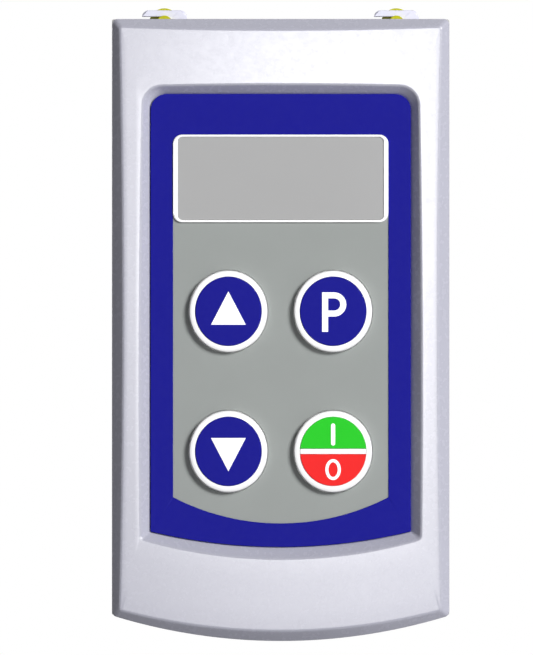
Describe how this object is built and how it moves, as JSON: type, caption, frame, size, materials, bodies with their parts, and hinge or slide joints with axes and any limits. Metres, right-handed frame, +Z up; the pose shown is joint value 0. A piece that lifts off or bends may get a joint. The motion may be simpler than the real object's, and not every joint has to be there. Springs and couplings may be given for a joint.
{
  "type": "variable frequency drive",
  "caption": "Compact motor drive with a keypad and display in a hooded front cover, on a finned heatsink with a lift-out fan, held by studs on slotted lugs.",
  "frame": {"origin": "centre of the four-stud mounting pattern, on the cabinet's surface", "axes": "+Z up, +X to the right of a person who faces the keypad, +Y into the cabinet's panel, so the front faces -Y"},
  "size_m": [0.068, 0.124, 0.1286],
  "materials": {
    "cover_plastic": "fine spark-eroded texture, pale lavender white",
    "housing_plastic": "fine spark-eroded texture, light warm grey",
    "panel_blue": "deep blue printed film",
    "inlay_grey": "grey printed film",
    "white_plastic": "white moulding",
    "display_grey": "smooth grey window",
    "key_blue": "blue insert with a white symbol",
    "key_green": "green insert with a white bar",
    "key_red": "red insert with a white ring",
    "dark_plastic": "black moulding",
    "circuit_board": "green solder resist",
    "plate_coating": "pale lavender powder coat",
    "steel": "zinc plated steel",
    "yellow_zinc": "yellow passivated",
    "brass": "bright brass",
    "aluminium": "die cast, as machined",
    "copper": "enamelled copper wire",
    "capacitor_sleeve": "shrink sleeve",
    "relay_case": "ivory moulding",
    "transformer_tape": "polyester tape over ferrite",
    "terminal_green": "green moulding"
  },
  "bodies": {
    "drive": {"housing": "housing_plastic", "housing_screws": "steel", "control_board": "circuit_board", "control_chips": "dark_plastic", "control_board_screws": "steel", "keypad_header": "dark_plastic", "board_standoffs": "brass", "interboard_connector": "dark_plastic", "power_board": "circuit_board", "bus_capacitors": "capacitor_sleeve", "line_choke": "copper", "inrush_relay": "relay_case", "supply_transformer": "transformer_tape", "power_module": "dark_plastic", "power_terminal_block": "dark_plastic", "power_terminal_clamps": "steel", "power_terminal_screws": "steel", "control_header": "terminal_green", "heatsink": "aluminium", "mounting_plate": "plate_coating", "mounting_plate_screws": "steel", "mounting_studs": "yellow_zinc", "earth_screw": "brass", "fan_socket": "relay_case"},
    "cover": {"front_cover": "cover_plastic", "keypad_overlay": "panel_blue", "keypad_inlay": "inlay_grey", "display_frame": "white_plastic", "display_window": "display_grey", "display_module": "dark_plastic", "keypad_board": "circuit_board", "tact_switches": "steel", "keypad_board_screws": "steel", "keypad_socket": "dark_plastic"},
    "up_key": {"up_key_cap": "white_plastic", "up_key_face": "key_blue", "up_key_plunger": "dark_plastic"},
    "down_key": {"down_key_cap": "white_plastic", "down_key_face": "key_blue", "down_key_plunger": "dark_plastic"},
    "program_key": {"program_key_cap": "white_plastic", "program_key_face": "key_blue", "program_key_plunger": "dark_plastic"},
    "run_stop_key": {"run_stop_key_cap": "white_plastic", "run_face": "key_green", "stop_face": "key_red", "run_stop_key_plunger": "dark_plastic"},
    "fan_unit": {"fan_cover": "housing_plastic", "fan_frame": "dark_plastic", "fan_bush": "brass", "fan_stator": "copper", "fan_screws": "steel", "fan_plug": "relay_case"},
    "fan_impeller": {"fan_rotor": "dark_plastic", "fan_magnet": "dark_plastic"},
    "wiring_plug": {"control_plug": "terminal_green", "control_plug_screws": "steel"}
  },
  "joints": [
    {"name": "front_cover_pull", "type": "slide", "parent": "drive", "child": "cover", "axis": [0, -1, 0], "range_m": [0, 0.06]},
    {"name": "up_key_press", "type": "slide", "parent": "cover", "child": "up_key", "axis": [0, 1, 0], "range_m": [0, 0.0007], "stiffness_N_per_m": 1600, "springref_m": -0.0006},
    {"name": "down_key_press", "type": "slide", "parent": "cover", "child": "down_key", "axis": [0, 1, 0], "range_m": [0, 0.0007], "stiffness_N_per_m": 1600, "springref_m": -0.0006},
    {"name": "program_key_press", "type": "slide", "parent": "cover", "child": "program_key", "axis": [0, 1, 0], "range_m": [0, 0.0007], "stiffness_N_per_m": 1600, "springref_m": -0.0006},
    {"name": "run_stop_key_press", "type": "slide", "parent": "cover", "child": "run_stop_key", "axis": [0, 1, 0], "range_m": [0, 0.0007], "stiffness_N_per_m": 1600, "springref_m": -0.0006},
    {"name": "fan_unit_lift", "type": "slide", "parent": "drive", "child": "fan_unit", "axis": [0, 0, 1], "range_m": [0, 0.03]},
    {"name": "fan_spin", "type": "hinge", "parent": "fan_unit", "child": "fan_impeller", "pos_m": [0, -0.02665, 0.051], "axis": [0, 0, 1], "continuous": true},
    {"name": "control_plug_pull", "type": "slide", "parent": "drive", "child": "wiring_plug", "axis": [0, 0, -1], "range_m": [0, 0.012]}
  ]
}
